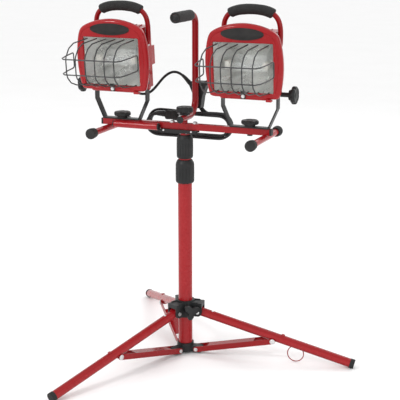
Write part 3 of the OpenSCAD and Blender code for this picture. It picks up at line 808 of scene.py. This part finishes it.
def build_hub_knob():
    """Rounded three-cornered grip on a neck, with a domed cap in the middle."""
    height = 119
    corners = 3
    mean_r, corner_r = 15.5, 6.3
    first_corner = math.radians(13)
    turn = Matrix.Rotation(math.radians(LEG_TURN["right"] - 53), 4, "Z")
    base = MAST_FRAME @ Matrix.Translation((0, 0, height)) @ turn @ Matrix.Rotation(math.pi / 2, 4, "Y")
    bm = bmesh.new()
    lathe(bm, [(4, 18), (4, 37.5)], 24)
    lathe(
        bm,
        [(7.2, 29.6), (8, 30.4), (8, 36.4), (8.6, 37), (8.6, 44.6), (7.6, 46), (5, 46.7), (0.4, 46.9)],
        32,
    )
    rings = []
    for z, grow in [(36.3, 0.84), (37.2, 0.95), (39.4, 1.0), (43, 1.0), (45.3, 0.95), (46.3, 0.84)]:
        ring = []
        for j in range(90):
            a = 2 * math.pi * j / 90
            r = (mean_r + corner_r * math.cos(corners * (a + first_corner))) * grow
            ring.append(Vector((r * math.cos(a), r * math.sin(a), z)))
        rings.append(ring)
    skin_rings(bm, rings)
    add("hub_knob_shape", bm, base, "plastic", "hub_knob", ["hub_knob"])


def build_leg_trim(name):
    """Rivet heads where the brace holds the leg, and a lock button's domed heads on the top and the
    underside of the tube.
    """
    half = 13.0
    bm = bmesh.new()
    for s in (-1, 1):
        dome(bm, aim(CLIP + Vector((0, s * (half + 1.5), 0)), (0, s, 0)), 5.2, 2.0)
        lathe(bm, [(6.6, 0), (6.6, 0.5), (5.9, 0.7), (2, 0.7)], 28,
              frame_of=aim(CLIP + Vector((0, s * (half + 1.4), 0)), (0, s, 0)))
    add(f"brace_rivet_{name}", bm, leg_plane(name), "zinc", f"brace_{name}")
    axis = leg_plane(name) @ Matrix.Translation(LEG_PIN) @ Matrix.Rotation(LEG_DROP, 4, "Y")
    bm = bmesh.new()
    dome(bm, Matrix.Translation((34, 0, 10.6)), 3.2, 1.6)
    dome(bm, aim((34, 0, -10.6), (0, 0, -1)), 3.2, 1.6)
    add(f"leg_stop_rivet_{name}", bm, axis, "zinc", f"leg_{name}")


def build_keeper():
    """Spring wire ring under the right leg, with its ends in the tube; it rides the right leg."""
    axis = leg_plane("right") @ Matrix.Translation(LEG_PIN) @ Matrix.Rotation(LEG_DROP, 4, "Y")
    along, drop, ring_r = 262, -24, 20
    steps = 48
    points = []
    for k in range(steps + 1):
        a = math.radians(138 + 264 * k / steps)
        points.append((along + ring_r * math.cos(a), 0, drop + ring_r * math.sin(a)))
    bm = bmesh.new()
    add_tube(bm, points, 1.2, 12)
    obj = finish_mesh("leg_loop_wire", bm, axis, "red", 60)
    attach(obj, "leg_right")
    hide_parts("leg_loop")
    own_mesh(obj)


# ---------- light bar ----------


def build_bar():
    softened("rail", "red", 1.3, 3)
    for node in ("inner_tube", "foot_bars", "spare_lamp_tube", "post_handle"):
        repaint(node, "red")
    softened("end_plugs", "plastic", 0.8, 2)
    softened("bar_bracket", "steel_black", 0.5, 2)
    softened("connector", "plastic", 1.6, 3)
    build_bar_feet()
    build_bar_screws()
    build_post_grip()
    bm = bmesh.new()
    lobed(bm, Matrix.Translation((0, 0, 608.3)), 20.5, knob_levels(0.62, 5, 19))
    add("post_knob_shape", bm, MAST_FRAME, "plastic", "post_knob", ["post_knob"])


def build_bar_feet():
    """Thick rubber caps with a bulged rim and a slightly domed end."""
    bm = bmesh.new()
    profile = [
        (8.1, -9.6), (10.6, -10), (11.6, -9.2), (12, -6), (12.6, -2), (13, 4), (13, 8), (12.6, 10.6),
        (11.4, 12.6), (9, 13.6), (4, 14), (0.2, 14),
    ]
    for x in (-202, 202):
        for e in (-1, 1):
            lathe(bm, profile, 40, frame_of=aim((x, e * 94, 564.5), (0, e, 0)))
    add("bar_feet_shape", bm, MAST_FRAME, "rubber", "light_bar", ["bar_feet"], sharp=40)


def build_bar_screws():
    """Zinc rivets and nuts on the bracket, the socket and the bar."""
    bm = bmesh.new()
    for x in (-50, 22):
        dome(bm, aim((x, -14.9, 569.6), (0, -1, 0)), 2.6, 1.6)
        dome(bm, aim((x, 14.9, 569.6), (0, 1, 0)), 2.6, 1.6)
    for turn in (-128, -52, 52, 128):
        out = Vector((math.cos(math.radians(turn)), math.sin(math.radians(turn)), 0))
        dome(bm, aim(out * 12.3 + Vector((0, 0, 564.6)), out), 2.9, 1.9)
    for x in (-32, 27):
        hex_head(bm, Matrix.Translation((x, 0, 587.6)), 10, 4.6, 7)
    add("bar_rivets", bm, MAST_FRAME, "zinc", "light_bar")


def build_post_grip():
    """Foam sleeve with soft ends over the post handle's top arm, and the plug in the tube's end."""
    bm = bmesh.new()
    profile = [
        (8.1, 1.2), (9.2, 0.2), (10.8, 0), (12, 0.7), (12.8, 2.4), (13, 5), (12.9, 30), (13.1, 52),
        (12.9, 70), (13, 90), (12.7, 93.6), (11.8, 95.4), (10.4, 96), (9, 95.8), (8.1, 94.6),
    ]
    rings = []
    start = aim((0, -59, 842), (0, 1, 0))
    for r, z in profile:
        ring = []
        for k in range(56):
            a = 2 * math.pi * k / 56
            ring.append(start @ Vector((r * math.cos(a), r * math.sin(a), z)))
        rings.append(ring)
    skin_rings(bm, rings, loop=True)
    add("post_grip_foam", bm, MAST_FRAME, "foam", "light_bar", ["post_grip"], sharp=60)
    bm = bmesh.new()
    lathe(bm, [(6.2, 0), (6.2, -6), (7.6, -6), (7.6, -7), (6.4, -7.8), (0.3, -8)], 36,
          frame_of=aim((0, -50, 842), (0, 1, 0)))
    add("post_end_plug", bm, MAST_FRAME, "plastic", "light_bar")


build_stand()
build_bar()

# ---------- heads ----------

WINDOW = Vector((72.5, 57))
WINDOW_Z = 69
BEZEL_HALF = 94
SIDE_R = 261
CROWN_R = 165
CROWN_Z = 169
BOTTOM_Z = -6
BEZEL_BACK = -36
BADGE_Z = 146


def eased(value, low, high):
    t = min(1, max(0, (value - low) / (high - low)))
    return t * t * (3 - 2 * t)


def outline_reach(a, inset):
    """Distance from the window's middle to the head's outline, in direction a of the X-Z plane."""
    c, s = math.cos(a), math.sin(a)
    side = SIDE_R - BEZEL_HALF
    found = []
    for cx, cz, r in ((-side, 72 - WINDOW_Z, SIDE_R), (side, 72 - WINDOW_Z, SIDE_R),
                      (0, CROWN_Z - CROWN_R - WINDOW_Z, CROWN_R)):
        along = cx * c + cz * s
        found.append(along + math.sqrt(along * along + (r - inset) ** 2 - cx * cx - cz * cz))
    if s < -0.05:
        drop = WINDOW_Z - BOTTOM_Z
        x = abs(drop * c / s)
        found.append((drop - 3.5 * eased(x, 56, 63) - inset) / -s)
    sharpness = 26
    return sum(t**-sharpness for t in found) ** (-1 / sharpness)


def window_reach(a, grow):
    """Distance to the window's edge, grown by grow, with its corners rounded."""
    c, s = abs(math.cos(a)) + 1e-9, abs(math.sin(a)) + 1e-9
    sharpness = 60
    x, z = (WINDOW.x + grow) / c, (WINDOW.y + grow) / s
    return (x**-sharpness + z**-sharpness) ** (-1 / sharpness)


def bezel_angles():
    """Even steps, with closer ones round the window's corners."""
    corner = math.atan2(WINDOW.y, WINDOW.x)
    angles = {round(2 * math.pi * k / 144, 6) for k in range(144)}
    for c in (corner, math.pi - corner, math.pi + corner, 2 * math.pi - corner):
        angles |= {round(c + d, 6) for d in (-0.012, -0.006, 0, 0.006, 0.012)}
    return sorted(angles)


def build_bezel(name, frame_of):
    """Front frame: rounded shoulder, raised contour line, bead round the window, hollow back."""
    shoulder, front = 8.5, -50.0
    stages = [("outline", 2.0, BEZEL_BACK), ("outline", 0.3, BEZEL_BACK), ("outline", 0, BEZEL_BACK - 0.6)]
    for k in range(8):
        a = math.pi / 2 * k / 7
        stages.append(("outline", shoulder * (1 - math.cos(a)), front + shoulder - shoulder * math.sin(a)))
    stages += [
        ("outline", 9.4, front - 0.1), ("outline", 9.9, front + 0.5), ("outline", 10.9, front + 0.6),
        ("outline", 11.5, front), ("window", 4.2, front - 0.1), ("window", 3.0, front - 0.8),
        ("window", 1.7, front - 1.0), ("window", 0.6, front - 0.6), ("window", 0, front + 0.4),
        ("window", 0, front + 5), ("window", 1.0, front + 5.2), ("window", 2.4, front + 4.2),
        ("outline", 10, front + 4), ("outline", 3.4, front + 10), ("outline", 2.2, BEZEL_BACK - 1),
    ]
    rings = []
    for kind, offset, y in stages:
        ring = []
        for a in bezel_angles():
            r = outline_reach(a, offset) if kind == "outline" else window_reach(a, offset)
            ring.append(Vector((r * math.cos(a), y, WINDOW_Z + r * math.sin(a))))
        rings.append(ring)
    bm = bmesh.new()
    skin_rings(bm, rings, loop=True)
    add(f"{name}_bezel_shell", bm, frame_of, "enamel", f"{name}_head",
        [f"{name}_bezel"], sharp=48)


def build_badge(name, frame_of):
    """Plain oval badge: a dark domed plate in a thin rim."""

    def oval(grow, y):
        ring = []
        for k in range(72):
            a = 2 * math.pi * k / 72
            ring.append(Vector(((51.5 + grow) * math.cos(a), y, BADGE_Z + (14 + grow) * math.sin(a))))
        return ring

    bm = bmesh.new()
    skin_rings(bm, [oval(0, -49.4), oval(0, -50.9), oval(-0.4, -51.4), oval(-1.2, -51.5), oval(-1.7, -51.1),
                    oval(-2.6, -51.2), oval(-6, -51.6), oval(-10, -51.8), oval(-13, -51.85)])
    add(f"{name}_badge", bm, frame_of, "gloss", f"{name}_head")


def build_guard(name, frame_of):
    """Six bent wires, one closed loop round them, the welded crossings, and the strap with its screw."""
    y0, y1 = -47.9, -160
    top, low = WINDOW_Z + WINDOW.y - 4, WINDOW_Z - WINDOW.y + 2
    loop_top, loop_low = WINDOW_Z + 24, WINDOW_Z - 12
    r = 1.5
    bm = bmesh.new()
    for k in range(6):
        x = (k - 2.5) * 24.5
        add_tube(bm, filleted([
            (x, y0, top), (x, y0 - 10, top), (x, y1 + 42, top + 1), (x, y1 + 18, top - 7),
            (x, y1 + 2, top - 24), (x, y1, loop_top - 6), (x, y1, loop_low + 2), (x, y1 + 3, loop_low - 8),
            (x, y1 + 18, low + 20), (x, y1 + 45, low + 9), (x, y0 - 10, low), (x, y0, low),
        ], 12, 6), r, 10)
        for z in (loop_top, loop_low):
            lathe(bm, [(0.2, -2.1), (1.5, -1.4), (2.1, 0), (1.5, 1.4), (0.2, 2.1)], 12,
                  frame_of=aim((x, y1 - 0.4, z), (0, 1, 0)))
    corners = [(-84, y1 + 80), (-81, y1 + 40), (-76, y1 + 10), (-67, y1 - 1.4)]
    corners += [(-x, y) for x, y in corners[::-1]]
    loop = [(x, y, loop_top) for x, y in corners] + [(x, y, loop_low) for x, y in corners[::-1]]
    add_tube(bm, filleted(loop, 7, 6, loop=True), r, 10, loop=True)
    add(f"{name}_guard_wires", bm, frame_of, "wire", f"{name}_head",
        [f"{name}_guard"], sharp=60)
    bm = bmesh.new()
    box(bm, (-6, -52.0, -3), (6, -50.4, 14))
    box(bm, (-6, -54.6, 12.2), (6, -51.4, 15.8))
    add(f"{name}_guard_strap", bm, frame_of, "steel_black", f"{name}_head", bevel=0.5)
    bm = bmesh.new()
    hex_head(bm, aim((0, -51.9, 3.5), (0, -1, 0)), 7, 3.2, 4.6)
    add(f"{name}_guard_screw", bm, frame_of, "zinc", f"{name}_head")


def rectangle(half_x, half_z, y):
    """Points round a rectangle at the window's height, the same number on each side."""
    count = 10
    corners = [(-half_x, -half_z), (half_x, -half_z), (half_x, half_z), (-half_x, half_z)]
    ring = []
    for (ax, az), (bx, bz) in zip(corners, corners[1:] + corners[:1]):
        for k in range(count):
            t = k / count
            ring.append(Vector((ax + (bx - ax) * t, y, WINDOW_Z + az + (bz - az) * t)))
    return ring


def build_reflector(name, frame_of):
    """Trough reflector: four bright walls that curve in to a flat back, with a rolled front edge."""
    depth = 50

    def section(t, out):
        return rectangle(74 - 35 * t**1.05 + out, 58.5 - 39.5 * t**1.4 + out, -42 + depth * t + out * t)

    steps = [k / 10 for k in range(11)]
    rings = [section(t, 0.9) for t in reversed(steps)]
    rings += [section(t, 0) for t in steps]
    bm = bmesh.new()
    skin_rings(bm, rings)
    add(f"{name}_reflector_trough", bm, frame_of, "reflector", f"{name}_head",
        [f"{name}_reflector"], sharp=22)


def build_lamp(name, frame_of):
    """Quartz tube with pinched ends, its coiled filament, and two ceramic holders on steel clips."""
    y = -18
    centre = Matrix.Translation((0, y, WINDOW_Z))
    along_x = centre @ Matrix.Rotation(math.pi / 2, 4, "Y")
    bm = bmesh.new()
    half_tube = [(4.75, 31), (4.6, 34), (2.4, 38), (2.2, 43)]
    lathe(bm, [(r, -x) for r, x in half_tube[::-1]] + half_tube, 28, frame_of=along_x)
    add(f"{name}_lamp_tube", bm, frame_of, "quartz", f"{name}_head", [f"{name}_lamp"])
    turns, coil_r = 34, 1.3
    half_coil, sides = 30, 8
    helix = []
    for k in range(turns * sides + 1):
        a = 2 * math.pi * k / sides
        x = -half_coil + 2 * half_coil * k / (turns * sides)
        helix.append((x, y + coil_r * math.cos(a), WINDOW_Z + coil_r * math.sin(a)))
    bm = bmesh.new()
    add_tube(bm, helix, 0.3, 5)
    for s in (-1, 1):
        box(bm, (s * 50 - 7, y + 5, WINDOW_Z - 3), (s * 50 + 7, y + 27, WINDOW_Z - 1.8))
        box(bm, (s * 45 - 5, y - 1, WINDOW_Z - 9.6), (s * 45 + 5, y + 1, WINDOW_Z - 8.6))
    add(f"{name}_filament_and_clips", bm, frame_of, "zinc", f"{name}_head")
    bm = bmesh.new()
    for s in (-1, 1):
        box(bm, (s * 47 - 5.2, y - 7, WINDOW_Z - 9), (s * 47 + 5.2, y + 7, WINDOW_Z + 9))
        lathe(bm, [(5.6, 0), (5.6, 3.4), (4.9, 4), (2.6, 4)], 24,
              frame_of=aim((s * 42, y, WINDOW_Z), (-s, 0, 0)))
    add(f"{name}_lamp_holders", bm, frame_of, "ceramic", f"{name}_head", bevel=0.8)


def handle_path():
    """The carry handle's arch, from the right side over the head to the left."""
    profile = [
        (65.5, 102), (68.4, 118), (68.9, 146), (64.5, 167), (53, 181), (34, 188.5), (14, 191.3), (0, 191.8),
    ]
    points = [(x, 18, z) for x, z in profile]
    points += [(-x, 18, z) for x, z in profile[-2::-1]]
    return smooth_path(points, 2.5)


def build_carry_handle(name, frame_of):
    path = handle_path()
    bm = bmesh.new()
    add_tube(bm, path, 6, 24)
    add(f"{name}_carry_tube", bm, frame_of, "red", f"{name}_head",
        [f"{name}_carry_handle"], sharp=60)
    bm = bmesh.new()
    for s in (-1, 1):
        low, high = sorted((s * 62.2, s * 66.2))
        box(bm, (low, 9.5, 94), (high, 26.5, 113))
    add(f"{name}_carry_tabs", bm, frame_of, "red", f"{name}_head", bevel=1.4)
    bm = bmesh.new()
    for s in (-1, 1):
        hex_head(bm, aim((s * 66.1, 18, 101), (s, 0, 0)), 8, 3.6, 5.4)
    add(f"{name}_carry_screws", bm, frame_of, "zinc", f"{name}_head")
    foam_half = 55
    middle = [p for p in path if abs(p.x) <= foam_half]
    long = path_length(middle)

    def radius(s):
        end = min(s, long - s)
        return 12 - 2.6 * max(0, 1 - end / 3.2) ** 2 + 0.15 * math.sin(s * 0.11)

    fine = []
    for a, b in zip(middle, middle[1:]):
        fine += [a, a.lerp(b, 0.5)]
    fine.append(middle[-1])
    bm = bmesh.new()
    add_tube(bm, fine, radius, 36)
    add(f"{name}_carry_foam", bm, frame_of, "foam", f"{name}_head",
        [f"{name}_carry_grip"], sharp=60)


def build_back(name, frame_of):
    """What is on the back of the head: cover plate with its screws, gland nut, and the switch's frame."""
    bm = bmesh.new()
    box(bm, (-55, 75.7, 44), (-28, 77.2, 86))
    box(bm, (5, 75.7, 44), (32, 77.2, 86))
    box(bm, (-28.2, 75.7, 76), (5.2, 77.2, 86))
    box(bm, (-28.2, 75.7, 44), (5.2, 77.2, 55))
    add(f"{name}_box_cover", bm, frame_of, "enamel", f"{name}_head", bevel=0.5)
    bm = bmesh.new()
    for x in (-50, 27):
        for z in (49, 81):
            dome(bm, aim((x, 77.1, z), (0, 1, 0)), 3.1, 1.7, 20)
    for x in (-48, 48):
        for z in (8, 126):
            dome(bm, aim((x, 47.8, z), (0, 1, 0)), 3.4, 1.8, 20)
    add(f"{name}_back_screws", bm, frame_of, "zinc", f"{name}_head")
    bm = bmesh.new()
    for low, high in [((-27, 67, 55), (-24.2, 78.2, 76)), ((1.2, 67, 55), (4, 78.2, 76)),
                      ((-27, 75.8, 73), (4, 78.2, 76)), ((-27, 75.8, 55), (4, 78.2, 58))]:
        box(bm, low, high)
    add(f"{name}_switch_frame", bm, frame_of, "gloss", f"{name}_head", bevel=0.4)
    bm = bmesh.new()
    lathe(bm, [(7.2, 31.4), (10.4, 31.4), (10.9, 32.2), (10.9, 39), (10.2, 40), (7.2, 40)], 6,
          frame_of=Matrix.Translation((14, 64, 0)))
    lathe(bm, [(3.6, 25.5), (6.2, 25.5), (7, 28), (8.6, 31.4), (3.6, 31.4)], 32,
          frame_of=Matrix.Translation((14, 64, 0)))
    add(f"{name}_gland_nut", bm, frame_of, "plastic", f"{name}_head", bevel=0.3)


def build_latch(name, frame_of, side):
    """Latch under the bezel, on the right of both heads, so it undoes the frame's mirror."""
    bm = bmesh.new()
    x = side * 60
    box(bm, (x - 6, -47, -8.6), (x + 6, -36, -4.5))
    box(bm, (x - 6, -50.6, -7.6), (x + 6, -46.5, -1))
    add(f"{name}_latch", bm, frame_of, "enamel", f"{name}_head", bevel=0.7)


def build_tilt_knob(name, side):
    turned = swivel_frame(side) @ Matrix.Translation((0, 0, TILT_Z)) @ Matrix.Rotation(math.pi / 2, 4, "Y")
    bm = bmesh.new()
    lathe(bm, [(2.9, 57), (2.9, 69.9), (5.5, 70), (5.5, 96), (2.9, 96.5)], 32)
    lobed(bm, Matrix.Translation((0, 0, 95.5)), 21, knob_levels(0.58, 5.5, 17.3))
    add(f"{name}_tilt_knob_shape", bm, turned, "plastic", f"{name}_tilt_knob",
        [f"{name}_tilt_knob"])


def build_yoke(name, side):
    softened(f"{name}_yoke", "steel_black", 0.7, 3)
    base = swivel_frame(side) @ Matrix.Translation((0, 0, 591.1))
    bm = bmesh.new()
    lobed(bm, Matrix.Identity(4), 21, knob_levels(0.6, 4, 14.5))
    add(f"{name}_yoke_knob_shape", bm, base, "plastic", f"{name}_yoke_knob",
        [f"{name}_yoke_knob"])


def lower_fins(bm, frame_of):
    """The cooling fins stand only a little above the pan."""
    fin_top = 144
    flange_back = -9
    to_head = frame_of.inverted()
    for v in bm.verts:
        p = to_head @ v.co
        if p.y > flange_back and p.z > fin_top:
            v.co = frame_of @ Vector((p.x, p.y, fin_top))


def build_head(name, side):
    frame_of = head_frame(side)
    build_bezel(name, frame_of)
    build_badge(name, frame_of)
    softened(f"{name}_housing", "enamel", 1.0, 2, lambda bm: lower_fins(bm, frame_of))
    repaint(f"{name}_glass", "glass")
    build_reflector(name, frame_of)
    build_lamp(name, frame_of)
    build_guard(name, frame_of)
    build_carry_handle(name, frame_of)
    build_back(name, frame_of)
    build_latch(name, frame_of, side)
    softened(f"{name}_switch", "gloss", 0.6, 2)
    build_yoke(name, side)
    build_tilt_knob(name, side)


for head_name, head_side in SIDES.items():
    build_head(head_name, head_side)

# ---------- studio ----------


def build_floor():
    bm = bmesh.new()
    bmesh.ops.create_grid(bm, x_segments=24, y_segments=24, size=90)
    mesh = bpy.data.meshes.new("floor")
    bm.to_mesh(mesh)
    bm.free()
    m = Nodes("floor")
    m.colour(m.ramp(m.noise(3, 3), (0.3, (0.94, 0.94, 0.94)), (0.7, (0.96, 0.96, 0.96))))
    m.rough(m.span(m.noise(18, 4), 0.6, 0.75))
    mesh.materials.append(m.material)
    floor = bpy.data.objects.new("floor", mesh)
    bpy.context.scene.collection.objects.link(floor)


def area_light(name, place, target, size, power):
    data = bpy.data.lights.new(name, "AREA")
    data.shape = "DISK"
    data.size = size
    data.energy = power
    light = bpy.data.objects.new(name, data)
    light.location = place
    light.rotation_euler = (Vector(target) - Vector(place)).to_track_quat("-Z", "Y").to_euler()
    bpy.context.scene.collection.objects.link(light)


def build_studio():
    build_floor()
    world = bpy.data.worlds.new("studio")
    world.use_nodes = True
    sky = world.node_tree.nodes["Background"]
    sky.inputs["Color"].default_value = (1, 1, 1, 1)
    sky.inputs["Strength"].default_value = 1.0
    bpy.context.scene.world = world
    bpy.context.scene.view_settings.view_transform = "Standard"
    middle = (0, 0, 0.5)
    area_light("key", (-1.6, -2.4, 2.6), middle, 0.6, 34)
    area_light("fill", (2.6, -1.2, 1.5), middle, 1.6, 9)
    area_light("back", (0.6, 2.4, 2.2), middle, 1.6, 16)


build_studio()
